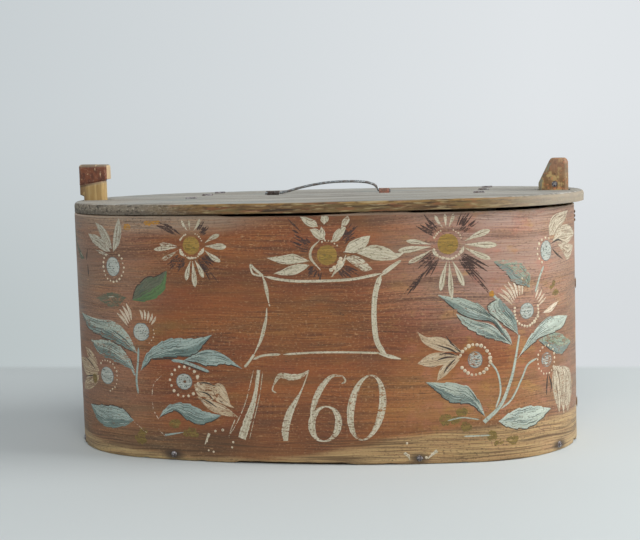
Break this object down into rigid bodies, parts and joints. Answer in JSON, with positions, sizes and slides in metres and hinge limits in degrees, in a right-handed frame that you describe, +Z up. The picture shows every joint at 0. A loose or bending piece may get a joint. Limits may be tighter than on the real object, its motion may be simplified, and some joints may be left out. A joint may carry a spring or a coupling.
{
  "type": "bentwood box",
  "caption": "Oval bentwood box with a flat lid held between a springy latch post and a fixed post, with a bowed wire handle on the lid and traditional flower painting.",
  "frame": {"origin": "centre of the oval bottom, on the surface that the box stands on", "axes": "+X along the box towards the fixed post, -X towards the latch post, -Y out of the painted front, +Z up"},
  "size_m": [0.4119, 0.218, 0.2246],
  "materials": {
    "painted_band": "red-brown stained and painted bent softwood, worn",
    "root": "split root, dried and dark",
    "bottom_wood": "bare sawn softwood, aged yellow",
    "nail_iron": "hand-forged nails, dark with rust",
    "latch_wood": "bare yellow wood with a red-brown painted head",
    "peg_wood": "whittled wooden pegs",
    "post_wood": "worn orange-brown paint over wood",
    "lid_wood": "weathered grey softwood with raised grain",
    "batten_wood": "bare planed softwood",
    "rusty_strap": "red-brown rusted iron strap",
    "handle_wire": "drawn iron wire, dull grey"
  },
  "bodies": {
    "box": {"side_band": "painted_band", "seam_lacing": "root", "bottom_board": "bottom_wood", "bottom_nails": "nail_iron", "fixed_post": "post_wood", "fixed_post_pegs": "peg_wood", "fixed_post_lacing": "root", "cross_nail": "nail_iron"},
    "latch": {"latch_post": "latch_wood", "latch_pegs": "peg_wood"},
    "lid": {"lid_board": "lid_wood", "batten_latch_end": "batten_wood", "batten_fixed_end": "batten_wood", "batten_nails_latch_end": "nail_iron", "batten_nails_fixed_end": "nail_iron", "clip_latch_end": "rusty_strap", "clip_fixed_end": "rusty_strap"},
    "handle": {"wire_handle": "handle_wire"}
  },
  "joints": [
    {"name": "lid_lift", "type": "slide", "parent": "box", "child": "lid", "axis": [0, 0, 1], "range_m": [0, 0.06]},
    {"name": "latch_flex", "type": "hinge", "parent": "box", "child": "latch", "pos_m": [-0.18738, -0.006, 0.033], "axis": [0, 1, 0], "range_deg": [-0.63, 1.76], "stiffness_Nm_per_rad": 60},
    {"name": "handle_swing", "type": "hinge", "parent": "lid", "child": "handle", "pos_m": [0.006, 0.012, 0.1968], "axis": [1, 0, 0], "range_deg": [-86, 86]}
  ]
}
